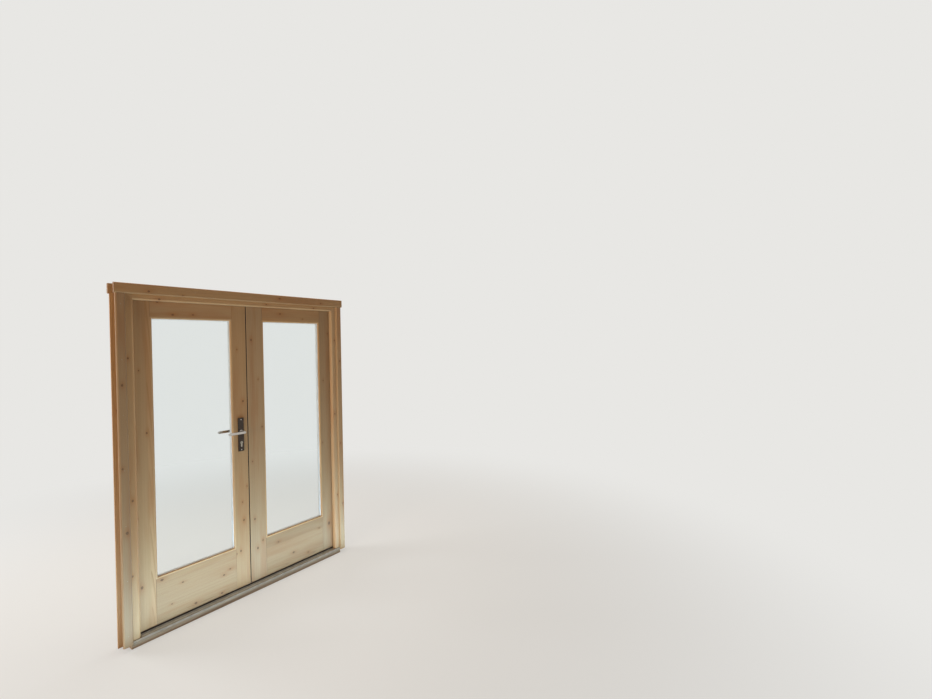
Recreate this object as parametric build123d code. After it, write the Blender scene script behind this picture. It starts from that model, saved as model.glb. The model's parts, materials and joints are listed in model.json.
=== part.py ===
# Glazed double door with its timber frame, made for a doorway in a wall of logs.
# Millimetres. X runs along the wall, to the right as seen from the room. Y points outdoors
# and Z is up. The origin is the middle of the threshold's underside, halfway through the wall.
# Both leaves open outdoors. The left one has the lock and the levers.
import os

from build123d import *

os.makedirs("parts", exist_ok=True)

# Frame
wall_depth = 72.0         # depth of the frame, the same as the logs
clear_width = 1338.0      # between the stops of the two jambs
clear_height = 1880.0     # from the lower edge of the leaves to the stop of the head
member = 47.0             # frame member, from the edge of its stop to the wall
stop_lap = 12.0           # how far a stop covers the edge of a leaf
stop_round = 11.0         # rounded arris of a stop, on the room side
seal_thick = 4.0
seal_wide = 7.0
seal_inset = 2.0          # from the edge of the stop to the seal
seal_round = 1.5
seal_air = 0.3            # between a seal and a closed leaf

# Threshold
sill_thick = 44.0
sill_lip = 7.0            # lip over the ends of the floor boards
floor_level = 28.0        # top of the floor boards above the underside of the threshold
sill_out = 30.0           # how far the threshold stands out, outdoors
sill_fall = 5.0           # fall of its outer part
sill_groove = 5.0         # drip groove under the outer part
sill_plate = 2.0          # metal cover plate
sill_plate_lip = 9.0      # fold of the plate down the edge of the lip

# Casing boards
casing_reach = 40.0       # how far the boards cover the logs beside the frame
inner_casing_wide = 46.0
inner_casing_thick = 15.0
outer_casing_wide = 50.0
outer_casing_thick = 15.0
head_reach = 42.0         # how far the head boards cover the log above the frame
head_casing_tall = 57.0
head_casing_thick = 19.0
head_casing_over = 6.0    # how far a head board runs past the side boards
casing_round = 8.0

# Gaps round the leaves
side_gap = 5.0
foot_gap = 12.0
meeting_gap = 7.0
meeting_shift = 9.5       # how far the joint of the leaves lies left of the middle
meeting_seal_out = 4.5    # how far the seal on the right leaf reaches into the meeting gap
meeting_seal_deep = 6.0   # its depth in the leaf's thickness
meeting_seal_inset = 2.0  # from the room face of the leaf

# Leaves
leaf_thick = 40.0
stile = 113.0             # stiles and top rails, from the outer edge to the sight line
bottom_rail = 275.0
rebate_wide = 10.0        # glazing rebate, also the width of a glazing bead
bead_deep = 12.0
bead_round = 7.0
bead_joint = 0.1          # half of the gap at a mitre
lip_chamfer = 6.0         # outer edge of the glazing rebate
arris = 1.0               # small chamfer on the long edges of stiles and rails

# Insulating glass
pane = 4.0
pane_gap = 8.0
glass_play = 2.0          # between the glass and the bottom of the rebate
spacer_wide = 11.0
spacer_inset = 0.5

# Drip rail and brush under a leaf
drip_tall = 38.0
drip_out = 24.0
drip_lift = 6.0           # from the lower edge of the leaf to the drip rail
drip_inset = 30.0         # from the hinge edge and the meeting edge
drip_top = 8.0            # flat part of its top, beside the leaf
drip_nose = 12.0          # height of its front edge
drip_round = 3.0
drip_groove = 4.0         # width and depth of the groove under it
drip_groove_inset = 6.0   # from its front edge to the groove
brush_wide = 8.0
brush_tall = 7.0

# Hinges
hinge_tall = 100.0
hinge_end = 190.0         # from an end of the leaf to the middle of the outer hinges
hinge_plate = 2.5
hinge_plate_wide = 28.0
barrel_radius = 7.0
barrel_stand = 0.5        # between the barrel and the outer faces of the frame
pin_radius = 4.0
pin_fit = 0.05
pin_tip = 4.0             # end of the pin above the barrel of the leaf
knuckle_gap = 0.4

# Lock and levers
spindle_height = 1040.0   # above the lower edge of the leaf
backset = 47.0            # from the meeting edge to the spindle
spindle = 8.0
back_plate_wide = 38.0
back_plate_thick = 7.0
back_plate_round = 2.0
plate_above = 92.0        # from the spindle to the upper end of a back plate
plate_below = 29.0        # from the lower end of the lock cylinder to that of a back plate
cylinder_drop = 72.0      # from the spindle to the middle of the lock cylinder
cylinder_radius = 8.5
cylinder_neck = 10.0      # width of the lower part of the lock cylinder
cylinder_length = 24.0    # from the middle of the round part to the lower end
cylinder_stand = 2.0      # how far it stands out of a back plate
cylinder_air = 0.4
key_slot_wide = 2.0
key_slot_tall = 9.0
key_slot_deep = 8.0
lever_reach = 44.0        # from a back plate to the middle of the grip
lever_length = 105.0      # from the spindle to the end of the grip
lever_tall = 16.0
lever_thick = 10.0
lever_round = 3.0
neck_radius = 9.0
neck_air = 0.4
neck_seat = 5.0           # depth of the neck in the back plate
case_thick = 15.0
case_above = 55.0         # from the spindle to the top of the lock case
case_below = 12.0         # from the lower end of the cylinder to the bottom of the case
case_behind = 25.0        # from the spindle to the back of the case
case_air = 0.5
face_plate_wide = 22.0
face_plate_over = 35.0    # how far the face plate runs past the case at each end
face_plate_thick = 3.0
latch_out = 1.5
latch_tall = 30.0
latch_deep = 12.0
latch_drop = 40.0         # from the spindle down to the middle of the latch
strike_wide = 22.0
strike_tall = 160.0
strike_thick = 2.5
strike_play = 2.0         # between the latch and the hole in the strike plate

# Flush bolts in the meeting edge of the right leaf
bolt_wide = 18.0
bolt_tall = 160.0
bolt_thick = 2.5
bolt_end = 18.0           # from the end of the leaf to the bolt's plate
bolt_slot_wide = 10.0     # finger hole round the slide
bolt_slot_tall = 44.0
bolt_slot_deep = 7.0
bolt_slide_wide = 6.0
bolt_slide_tall = 14.0
bolt_slide_deep = 1.0     # how far the slide lies below the face of the plate

# Places worked out from the sizes above
room_face = -wall_depth / 2
out_face = wall_depth / 2
leaf_room = out_face - leaf_thick
leaf_middle = out_face - leaf_thick / 2
stop_face = leaf_room - seal_thick
half_clear = clear_width / 2
half_frame = half_clear + member
half_rebate = half_clear + stop_lap + side_gap
half_leaves = half_clear + stop_lap
half_casing = half_frame + casing_reach
plate_top = sill_thick + sill_plate
leaf_bottom = plate_top + foot_gap
leaf_top = leaf_bottom + clear_height + stop_lap
head_stop = leaf_bottom + clear_height
frame_top = head_stop + member
head_casing_top = frame_top + head_reach
head_casing_bottom = head_casing_top - head_casing_tall
left_leaf_width = half_leaves - meeting_shift - meeting_gap / 2
right_leaf_width = half_leaves + meeting_shift - meeting_gap / 2
sight_bottom = leaf_bottom + bottom_rail
sight_top = leaf_top - stile
glass_room = leaf_room + bead_deep
glass_out = glass_room + 2 * pane + pane_gap
pin_x = half_leaves + side_gap / 2
pin_y = out_face + barrel_radius + barrel_stand
spindle_x = -half_leaves + left_leaf_width - backset
spindle_z = leaf_bottom + spindle_height
nodes = {}


# A box between two corners.
def block(x0, x1, y0, y1, z0, z1):
    return Pos((x0 + x1) / 2, (y0 + y1) / 2, (z0 + z1) / 2) * Box(x1 - x0, y1 - y0, z1 - z0)


# A closed outline with rounded corners: rounds gives the radius at a point's place in the list.
def outline(points, rounds=None, chamfers=None):
    face = make_face(Polyline(*points, close=True))
    for place, radius in (rounds or {}).items():
        corner = face.vertices().sort_by_distance(Vector(*points[place]))[0]
        face = fillet(corner, radius)
    for place, size in (chamfers or {}).items():
        corner = face.vertices().sort_by_distance(Vector(*points[place]))[0]
        face = chamfer(corner, size)
    return face


# A bar round an opening. Its section is drawn as distance from the opening against Y, and it
# lies on the named side. Mitred ends grow by the distance from the opening.
quarter_turns = {"right": 0, "top": -90, "left": 180, "bottom": 90}


def bar(section, length, side, centre, mitre_low=False, mitre_high=False, joint=0.0):
    far = section.bounding_box().max.X
    solid = extrude(section, amount=length / 2 + far, both=True)
    low = -length / 2 + joint
    high = length / 2 - joint
    keep = make_face(Polyline(
        (0, low), (far, low - far if mitre_low else low),
        (far, high + far if mitre_high else high), (0, high), close=True))
    keep = Plane.XZ * keep
    solid = solid & extrude(keep, amount=wall_depth * 2, both=True)
    return Pos(*centre) * Rot(0, quarter_turns[side], 0) * solid


def mirrored(shape):
    return mirror(shape, about=Plane.YZ)


# The frame: three mitred members with a stop for the leaves, on a threshold.
def frame_section():
    lap = stop_lap + side_gap
    return outline(
        [(0, room_face), (member, room_face), (member, out_face), (lap, out_face),
         (lap, stop_face), (0, stop_face)],
        rounds={0: stop_round}, chamfers={3: arris})


def make_frame():
    section = frame_section()
    jamb_length = head_stop - sill_thick
    jamb_middle = (head_stop + sill_thick) / 2
    right = bar(section, jamb_length, "right", (half_clear, 0, jamb_middle), mitre_high=True)
    for z in hinge_heights():
        right -= hinge_recess(half_rebate, z)
    nodes["right_jamb"] = right
    nodes["left_jamb"] = mirrored(right)
    nodes["head_jamb"] = bar(section, clear_width, "top", (0, 0, head_stop), True, True)


def make_threshold():
    body = block(-half_frame, half_frame, room_face, out_face, 0, sill_thick)
    lip_half = half_casing - inner_casing_wide
    lip = block(-lip_half, lip_half, room_face - sill_lip, room_face, floor_level, sill_thick)
    out_half = half_casing - outer_casing_wide
    nose_y = out_face + sill_out
    nose = extrude(Plane.YZ * outline(
        [(out_face, 0), (nose_y, 0), (nose_y, sill_thick - sill_fall), (out_face, sill_thick)],
        chamfers={2: 2 * arris}), amount=out_half, both=True)
    groove = block(-half_frame, half_frame, nose_y - 2 * sill_groove, nose_y - sill_groove,
                   0, sill_groove)
    nodes["threshold"] = body + lip + nose - groove


# The plate lies on the threshold between the stops and folds down over the lip.
def make_threshold_plate():
    front = room_face - sill_lip
    top = block(-half_clear, half_clear, front - sill_plate, leaf_room + leaf_thick / 2,
                sill_thick, plate_top)
    fold = block(-half_clear, half_clear, front - sill_plate, front,
                 sill_thick - sill_plate_lip, plate_top)
    plate = top + fold
    front_edges = plate.edges().filter_by(Axis.X).group_by(Axis.Z)[-1].group_by(Axis.Y)[0]
    nodes["threshold_plate"] = fillet(front_edges, sill_plate / 2)


# The casing boards cover the joint between the frame and the logs on both faces.
def casing_section(wide, thick, face, out):
    near = half_casing - half_clear - wide
    far = near + wide
    rounds = {2: casing_round, 3: casing_round} if out else {0: casing_round, 1: casing_round}
    return outline([(near, face), (far, face), (far, face + thick), (near, face + thick)],
                   rounds=rounds)


def make_casings():
    boards = (("inner", inner_casing_wide, inner_casing_thick, room_face - inner_casing_thick,
               False, floor_level),
              ("outer", outer_casing_wide, outer_casing_thick, out_face, True, 0.0))
    for name, wide, thick, face, out, foot in boards:
        section = casing_section(wide, thick, face, out)
        length = head_casing_bottom - foot
        board = bar(section, length, "right", (half_clear, 0, foot + length / 2))
        nodes["right_" + name + "_casing"] = board
        nodes["left_" + name + "_casing"] = mirrored(board)
    half = half_casing + head_casing_over
    for name, face, out in (("inner", room_face - head_casing_thick, False),
                            ("outer", out_face, True)):
        y0, y1 = face, face + head_casing_thick
        rounds = {2: casing_round, 3: casing_round} if out else {0: casing_round, 1: casing_round}
        section = outline([(0, y0), (head_casing_tall, y0), (head_casing_tall, y1), (0, y1)],
                          rounds=rounds)
        nodes["head_" + name + "_casing"] = bar(section, 2 * half, "top",
                                                (0, 0, head_casing_bottom))


# Soft strips on the stops, which a closed leaf presses on.
def make_frame_seals():
    y0, y1 = stop_face, leaf_room - seal_air
    section = outline([(seal_inset, y0), (seal_inset + seal_wide, y0),
                       (seal_inset + seal_wide, y1), (seal_inset, y1)],
                      rounds={2: seal_round, 3: seal_round})
    side = bar(section, head_stop - plate_top, "right",
               (half_clear, 0, (head_stop + plate_top) / 2), mitre_high=True)
    top = bar(section, clear_width, "top", (0, 0, head_stop), True, True)
    nodes["right_jamb_seal"] = side
    nodes["left_jamb_seal"] = mirrored(side)
    nodes["head_seal"] = top


# A leaf: two stiles with the rails between them, the glass in a rebate, beads on the room side.
# Each is drawn as a left leaf. The right leaf is its mirror image with its own width.
def make_stile(width, x_edge, towards):
    x0, x1 = sorted((x_edge, x_edge + towards * (width - rebate_wide)))
    full = block(x0, x1, leaf_room, out_face, leaf_bottom, leaf_top)
    full = chamfer(full.edges().filter_by(Axis.Z), arris)
    section = outline([(0, glass_out), (rebate_wide, glass_out), (rebate_wide, out_face),
                       (0, out_face)], chamfers={3: lip_chamfer})
    side = "left" if towards > 0 else "right"
    lip = bar(section, sight_top - sight_bottom, side,
              (x_edge + towards * width, 0, (sight_bottom + sight_top) / 2))
    return full + lip


def rail_section(tall):
    return outline(
        [(0, glass_out), (rebate_wide, glass_out), (rebate_wide, leaf_room), (tall, leaf_room),
         (tall, out_face), (0, out_face)],
        chamfers={5: lip_chamfer, 2: arris, 3: arris, 4: arris})


def make_leaf(side, width, meeting_stile, turn):
    x0 = -half_leaves
    x1 = x0 + width
    near = x0 + stile
    far = x1 - meeting_stile
    middle = (near + far) / 2
    body_length = far - near + 2 * rebate_wide
    hinge_side = make_stile(stile, x0, 1)
    for z in hinge_heights():
        hinge_side -= hinge_recess(x0, z)
    nodes[side + "_hinge_stile"] = turn(hinge_side)
    nodes[side + "_meeting_stile"] = turn(make_stile(meeting_stile, x1, -1))
    top = bar(rail_section(stile), body_length, "top", (middle, 0, sight_top))
    bottom = bar(rail_section(bottom_rail), body_length, "bottom", (middle, 0, sight_bottom))
    nodes[side + "_top_rail"] = turn(top)
    nodes[side + "_bottom_rail"] = turn(bottom)
    make_glazing(side, near, far, turn)
    make_leaf_foot(side, x0, x1, turn)


def make_glazing(side, near, far, turn):
    cover = rebate_wide - glass_play
    z0, z1 = sight_bottom - cover, sight_top + cover
    panes = [block(near - cover, far + cover, y, y + pane, z0, z1)
             for y in (glass_room, glass_room + pane + pane_gap)]
    nodes[side + "_glass"] = Compound([turn(p) for p in panes])
    spacer_room = glass_room + pane
    outer = block(near - cover + spacer_inset, far + cover - spacer_inset, spacer_room,
                  spacer_room + pane_gap, z0 + spacer_inset, z1 - spacer_inset)
    inset = spacer_inset + spacer_wide
    inner = block(near - cover + inset, far + cover - inset, glass_room, glass_out,
                  z0 + inset, z1 - inset)
    nodes[side + "_spacer"] = turn(outer - inner)
    section = outline([(0, leaf_room), (rebate_wide, leaf_room), (rebate_wide, glass_room),
                       (0, glass_room)], rounds={0: bead_round})
    middle_x = (near + far) / 2
    middle_z = (sight_bottom + sight_top) / 2
    wide, tall = far - near, sight_top - sight_bottom
    places = (("left", tall, (near, 0, middle_z)), ("right", tall, (far, 0, middle_z)),
              ("top", wide, (middle_x, 0, sight_top)), ("bottom", wide, (middle_x, 0, sight_bottom)))
    beads = [bar(section, length, place, centre, True, True, bead_joint)
             for place, length, centre in places]
    nodes[side + "_beads"] = Compound([turn(b) for b in beads])


# The drip rail throws rain clear of the threshold. The brush closes the gap under the leaf.
def make_leaf_foot(side, x0, x1, turn):
    z0 = leaf_bottom + drip_lift
    tip = out_face + drip_out
    drip = outline([(out_face, z0), (tip, z0), (tip, z0 + drip_nose),
                    (out_face + drip_top, z0 + drip_tall), (out_face, z0 + drip_tall)],
                   rounds={2: drip_round, 3: drip_round})
    length = x1 - x0 - 2 * drip_inset
    rail = Pos((x0 + x1) / 2, 0, 0) * extrude(Plane.YZ * drip, amount=length / 2, both=True)
    groove_y = tip - drip_groove_inset
    groove = block(x0, x1, groove_y - drip_groove, groove_y, leaf_bottom, z0 + drip_groove)
    nodes[side + "_drip_rail"] = turn(rail - groove)
    brush = block(x0 + arris, x1 - arris, leaf_middle - brush_wide / 2, leaf_middle + brush_wide / 2,
                  leaf_bottom - brush_tall, leaf_bottom)
    nodes[side + "_brush"] = turn(brush)


# Lift-off butt hinges: the lower half with the pin is on the jamb, the upper half on the leaf.
def hinge_heights():
    ends = (leaf_bottom + hinge_end, leaf_top - hinge_end)
    return (ends[0], (ends[0] + ends[1]) / 2, ends[1])


def hinge_recess(x, z):
    return block(x, x + hinge_plate, out_face - hinge_plate_wide, out_face,
                 z - hinge_tall / 2, z + hinge_tall / 2)


def knuckle(radius, z0, z1):
    return Pos(-pin_x, pin_y, (z0 + z1) / 2) * Cylinder(radius, z1 - z0)


def make_hinges(side, turn):
    frame_halves = []
    leaf_halves = []
    for z in hinge_heights():
        low, high = z - hinge_tall / 2, z + hinge_tall / 2
        frame_x = -half_rebate - hinge_plate
        leaf_x = -half_leaves
        frame_wing = block(frame_x, frame_x + hinge_plate, leaf_middle, pin_y, low, z)
        leaf_wing = block(leaf_x, leaf_x + hinge_plate, leaf_middle, pin_y, z + knuckle_gap, high)
        pin = knuckle(pin_radius, low, high + pin_tip)
        bore = knuckle(pin_radius + pin_fit, low, high)
        frame_halves.append(hinge_recess(frame_x, z) + frame_wing
                            + knuckle(barrel_radius, low, z) + pin)
        leaf_halves.append(hinge_recess(leaf_x, z) + leaf_wing
                           + knuckle(barrel_radius, z + knuckle_gap, high) - bore)
    nodes[side + "_jamb_hinges"] = Compound([turn(h) for h in frame_halves])
    nodes[side + "_leaf_hinges"] = Compound([turn(h) for h in leaf_halves])


# The lock: a case let into the meeting stile, with a face plate on its edge.
def cylinder_face(grow):
    round_part = Circle(cylinder_radius + grow)
    neck = Pos(0, -cylinder_length / 2) * Rectangle(cylinder_neck + 2 * grow, cylinder_length)
    foot = Pos(0, -cylinder_length) * Circle(cylinder_neck / 2 + grow)
    return round_part + neck + foot


def along_y(face, y0, y1, x, z):
    return Pos(x, y0, z) * Rot(90, 0, 0) * extrude(face, amount=-(y1 - y0))


def make_lock():
    edge = -half_leaves + left_leaf_width
    cylinder_z = spindle_z - cylinder_drop
    inner_face = leaf_room - back_plate_thick
    outer_face = out_face + back_plate_thick
    cylinder_foot = cylinder_z - cylinder_length - cylinder_neck / 2
    case_x = edge - backset - case_behind
    case_z0 = cylinder_foot - case_below
    case_z1 = spindle_z + case_above
    case = block(case_x, edge - face_plate_thick,
                 leaf_middle - case_thick / 2, leaf_middle + case_thick / 2, case_z0, case_z1)
    pocket = block(case_x - case_air, edge,
                   leaf_middle - case_thick / 2 - case_air, leaf_middle + case_thick / 2 + case_air,
                   case_z0 - case_air, case_z1 + case_air)
    face_plate = block(edge - face_plate_thick, edge, leaf_middle - face_plate_wide / 2,
                       leaf_middle + face_plate_wide / 2,
                       case_z0 - face_plate_over, case_z1 + face_plate_over)
    spindle_hole = along_y(Circle(neck_radius + neck_air), inner_face, outer_face,
                           spindle_x, spindle_z)
    cylinder_hole = along_y(cylinder_face(cylinder_air), inner_face, outer_face,
                            spindle_x, cylinder_z)
    nodes["left_meeting_stile"] = (nodes["left_meeting_stile"] - pocket - face_plate
                                   - spindle_hole - cylinder_hole)
    nodes["lock_case"] = case - spindle_hole - cylinder_hole
    latch_z = spindle_z - latch_drop
    latch = block(edge, edge + latch_out, leaf_middle - latch_deep / 2,
                  leaf_middle + latch_deep / 2, latch_z - latch_tall / 2, latch_z + latch_tall / 2)
    nodes["lock_face_plate"] = face_plate + latch
    cylinder_y0 = inner_face - cylinder_stand
    cylinder_y1 = outer_face + cylinder_stand
    cylinder = along_y(cylinder_face(0), cylinder_y0, cylinder_y1, spindle_x, cylinder_z)
    for y in (cylinder_y0, cylinder_y1 - key_slot_deep):
        cylinder -= block(spindle_x - key_slot_wide / 2, spindle_x + key_slot_wide / 2,
                          y, y + key_slot_deep,
                          cylinder_z - key_slot_tall / 2, cylinder_z + key_slot_tall / 2)
    nodes["lock_cylinder"] = cylinder
    for name, y0, y1, front in (("inner_back_plate", inner_face, leaf_room, 0),
                                ("outer_back_plate", out_face, outer_face, -1)):
        plate = block(spindle_x - back_plate_wide / 2, spindle_x + back_plate_wide / 2, y0, y1,
                      cylinder_foot - plate_below, spindle_z + plate_above)
        plate = chamfer(plate.faces().sort_by(Axis.Y)[front].edges(), back_plate_round)
        nodes[name] = plate - spindle_hole - cylinder_hole


# A lever is a round neck and a flat grip with rounded ends. Both levers share a square spindle.
def make_levers():
    grip_out = lever_reach - lever_thick / 2
    grip_length = lever_length + lever_tall / 2
    grip = Pos(lever_tall / 2 - grip_length / 2, 0) * SlotOverall(grip_length, lever_tall)
    inner_face = leaf_room - back_plate_thick
    outer_face = out_face + back_plate_thick
    rod = along_y(Rectangle(spindle, spindle), inner_face - grip_out / 2,
                  outer_face + grip_out / 2, spindle_x, spindle_z)
    nodes["spindle"] = rod
    for name, face, away in (("inner_lever", inner_face, -1), ("outer_lever", outer_face, 1)):
        y0, y1 = sorted((face - away * neck_seat, face + away * grip_out))
        neck = along_y(Circle(neck_radius), y0, y1, spindle_x, spindle_z)
        g0, g1 = sorted((face + away * grip_out, face + away * (grip_out + lever_thick)))
        flat = along_y(grip, g0, g1, spindle_x, spindle_z)
        near, far = flat.faces().filter_by(Axis.Y).sort_by(Axis.Y)
        front = near if away < 0 else far
        nodes[name] = neck + fillet(front.edges(), lever_round) - rod


# The strike plate on the edge of the right leaf takes the latch.
def make_strike():
    edge = half_leaves - right_leaf_width
    strike_z = spindle_z - latch_drop
    hole_tall = latch_tall + 2 * strike_play
    hole_deep = latch_deep + 2 * strike_play
    plate = block(edge, edge + strike_thick, leaf_middle - strike_wide / 2,
                  leaf_middle + strike_wide / 2, strike_z - strike_tall / 2,
                  strike_z + strike_tall / 2)
    nodes["right_meeting_stile"] = nodes["right_meeting_stile"] - plate
    hole = block(edge, edge + strike_thick, leaf_middle - hole_deep / 2,
                 leaf_middle + hole_deep / 2, strike_z - hole_tall / 2, strike_z + hole_tall / 2)
    nodes["strike_plate"] = plate - hole


# Flush bolts at the top and bottom of the same edge hold the right leaf shut. They are drawn in.
def make_flush_bolts():
    edge = half_leaves - right_leaf_width
    bolts = []
    for low in (leaf_bottom + bolt_end, leaf_top - bolt_end - bolt_tall):
        middle = low + bolt_tall / 2
        plate = block(edge, edge + bolt_thick, leaf_middle - bolt_wide / 2,
                      leaf_middle + bolt_wide / 2, low, low + bolt_tall)
        box = block(edge + bolt_thick, edge + bolt_slot_deep, leaf_middle - bolt_slot_wide / 2,
                    leaf_middle + bolt_slot_wide / 2,
                    middle - bolt_slot_tall / 2, middle + bolt_slot_tall / 2)
        slot = block(edge, edge + bolt_thick, leaf_middle - bolt_slot_wide / 2,
                     leaf_middle + bolt_slot_wide / 2,
                     middle - bolt_slot_tall / 2, middle + bolt_slot_tall / 2)
        slide = block(edge + bolt_slide_deep, edge + bolt_slot_deep,
                      leaf_middle - bolt_slide_wide / 2, leaf_middle + bolt_slide_wide / 2,
                      middle - bolt_slide_tall / 2, middle + bolt_slide_tall / 2)
        nodes["right_meeting_stile"] = nodes["right_meeting_stile"] - plate - box
        bolts.append(plate - slot + slide)
    nodes["flush_bolts"] = Compound(bolts)


# A soft strip on the edge of the right leaf closes the gap where the leaves meet.
def make_meeting_seal():
    edge = half_leaves - right_leaf_width
    y0 = leaf_room + meeting_seal_inset
    nodes["meeting_seal"] = block(edge - meeting_seal_out, edge, y0, y0 + meeting_seal_deep,
                                  leaf_bottom, leaf_top)


make_frame()
make_threshold()
make_threshold_plate()
make_casings()
make_frame_seals()
make_leaf("left", left_leaf_width, stile - meeting_shift, lambda shape: shape)
make_leaf("right", right_leaf_width, stile + meeting_shift, mirrored)
make_hinges("left", lambda shape: shape)
make_hinges("right", mirrored)
make_lock()
make_levers()
make_strike()
make_flush_bolts()
make_meeting_seal()

for name, shape in nodes.items():
    export_step(shape, "parts/" + name + ".step")
print(len(nodes), "nodes")
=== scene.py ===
# Looks of a glazed double door in its timber frame: pine, hardwood, glass, rubber and metal,
# with the screws, brads, sealant, seals and brushes that the solid parts leave out.
import json
import math

import bmesh
import bpy
import numpy as np
from mathutils import Matrix, Vector


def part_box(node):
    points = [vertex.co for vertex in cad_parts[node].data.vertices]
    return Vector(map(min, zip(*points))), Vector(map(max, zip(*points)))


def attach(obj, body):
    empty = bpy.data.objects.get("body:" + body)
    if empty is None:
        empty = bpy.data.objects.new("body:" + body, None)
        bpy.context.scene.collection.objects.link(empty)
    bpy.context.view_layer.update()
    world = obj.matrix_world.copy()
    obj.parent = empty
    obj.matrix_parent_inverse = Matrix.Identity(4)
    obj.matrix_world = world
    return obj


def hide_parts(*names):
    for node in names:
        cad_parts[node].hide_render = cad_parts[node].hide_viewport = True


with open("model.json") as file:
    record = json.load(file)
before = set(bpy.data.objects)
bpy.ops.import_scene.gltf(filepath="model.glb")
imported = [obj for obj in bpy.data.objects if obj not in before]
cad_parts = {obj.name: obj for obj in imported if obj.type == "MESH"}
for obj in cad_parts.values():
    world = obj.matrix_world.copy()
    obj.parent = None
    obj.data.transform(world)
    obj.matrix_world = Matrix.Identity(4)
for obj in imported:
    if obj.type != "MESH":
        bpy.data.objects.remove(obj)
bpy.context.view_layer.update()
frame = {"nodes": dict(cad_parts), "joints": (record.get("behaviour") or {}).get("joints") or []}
nodes = frame["nodes"]
millimetre = 0.001
mergeReach = 0.002 * millimetre  # points nearer than this become one
print("frame loaded:", len(nodes), "nodes")


# Shader maths: a wire is one output of a node, and sums on wires add Math nodes.
class Wire:
    def __init__(self, finish, socket):
        self.finish = finish
        self.socket = socket

    def maths(self, operation, *others):
        values = dict(enumerate((self,) + others))
        return self.finish.node("Math", {"operation": operation}, values)

    def __add__(self, other):
        return self.maths("ADD", other)

    def __sub__(self, other):
        return self.maths("SUBTRACT", other)

    def __rsub__(self, other):
        return (self * -1.0) + other

    def __mul__(self, other):
        return self.maths("MULTIPLY", other)

    def __truediv__(self, other):
        return self.maths("DIVIDE", other)

    def __abs__(self):
        return self.maths("ABSOLUTE")

    def __gt__(self, other):
        return self.maths("GREATER_THAN", other)

    __radd__ = __add__  # a sum or a product is the same either way round
    __rmul__ = __mul__


def root(wire):
    return wire.maths("SQRT")


def smaller(wire, other):
    return wire.maths("MINIMUM", other)


def larger(wire, other):
    return wire.maths("MAXIMUM", other)


def rise(wire, low, high):  # 0 at low, 1 at high, smooth between
    return wire.finish.node("MapRange", {"interpolation_type": "SMOOTHSTEP"},
                            {"Value": wire, "From Min": low, "From Max": high})


def fade(wire):  # 1 at 0, falling as a bell
    return (wire * wire * -1.0).maths("EXPONENT")


def linear(colour, shade=1.0):  # screen colour of 0 to 255, as the light that shaders use
    share = np.array(colour) / 255.0
    light = np.where(share <= 0.04045, share / 12.92, ((share + 0.055) / 1.055) ** 2.4)
    return (*np.clip(light * shade, 0, 1).tolist(), 1.0)


class Finish:
    def __init__(self, name, holder=None):  # holder: a new material, unless a world is given
        self.holder = holder or bpy.data.materials.new(name)
        self.holder.use_nodes = True
        self.tree = self.holder.node_tree
        self.tree.nodes.clear()

    def node(self, kind, settings=None, values=None, output=0):
        made = self.tree.nodes.new("ShaderNode" + kind)
        for key, value in (settings or {}).items():
            if key == "stops":
                self.setStops(made.color_ramp, value)
            else:
                setattr(made, key, value)
        for key, value in (values or {}).items():
            if isinstance(value, Wire):
                self.tree.links.new(value.socket, made.inputs[key])
            else:
                made.inputs[key].default_value = value
        return Wire(self, made.outputs[output]) if made.outputs else None

    def setStops(self, ramp, stops):
        while len(ramp.elements) < len(stops):
            ramp.elements.new(0.5)
        for element, (place, level) in zip(ramp.elements, stops):
            element.position = place
            element.color = (level, level, level, 1.0)

    def mix(self, factor, first, second, blend="MIX"):  # of two colours
        return self.node("Mix", {"data_type": "RGBA", "blend_type": blend},
                         {0: factor, 6: first, 7: second}, output=2)

    def noise(self, vector, scale, detail=2.0, rough=0.5):
        return self.node("TexNoise", None, {"Vector": vector, "Scale": scale, "Detail": detail,
                                            "Roughness": rough})

    def place(self, centre=(0.0, 0.0, 0.0), turn=(0.0, 0.0, 0.0)):
        spot = self.node("TexCoord", None, None, "Object")
        return self.node("Mapping", {"vector_type": "TEXTURE"},
                         {"Vector": spot, "Location": centre, "Rotation": turn})

    def parts(self, vector):
        return [self.node("SeparateXYZ", None, {"Vector": vector}, axis) for axis in range(3)]

    def join(self, x, y, z):
        return self.node("CombineXYZ", None, {"X": x, "Y": y, "Z": z})

    def stretch(self, spot, scales, seeded=0, seed=0.0):  # the seeded axis moves by the seed
        run = [axis * scale for axis, scale in zip(spot, scales)]
        if seed:
            run[seeded] = run[seeded] + seed
        return self.join(*run)

    def bump(self, height, distance, strength=1.0):
        return self.node("Bump", None, {"Height": height, "Distance": distance,
                                        "Strength": strength})

    def surface(self, values):
        return self.end(self.node("BsdfPrincipled", None, values, "BSDF"))

    def seen(self):  # 1 for the camera and in reflections
        return larger(self.node("LightPath", None, None, "Is Camera Ray"),
                      self.node("LightPath", None, None, "Is Glossy Ray"))

    def end(self, shader, output="OutputMaterial"):
        self.node(output, None, {"Surface": shader})
        return self.holder


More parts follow.
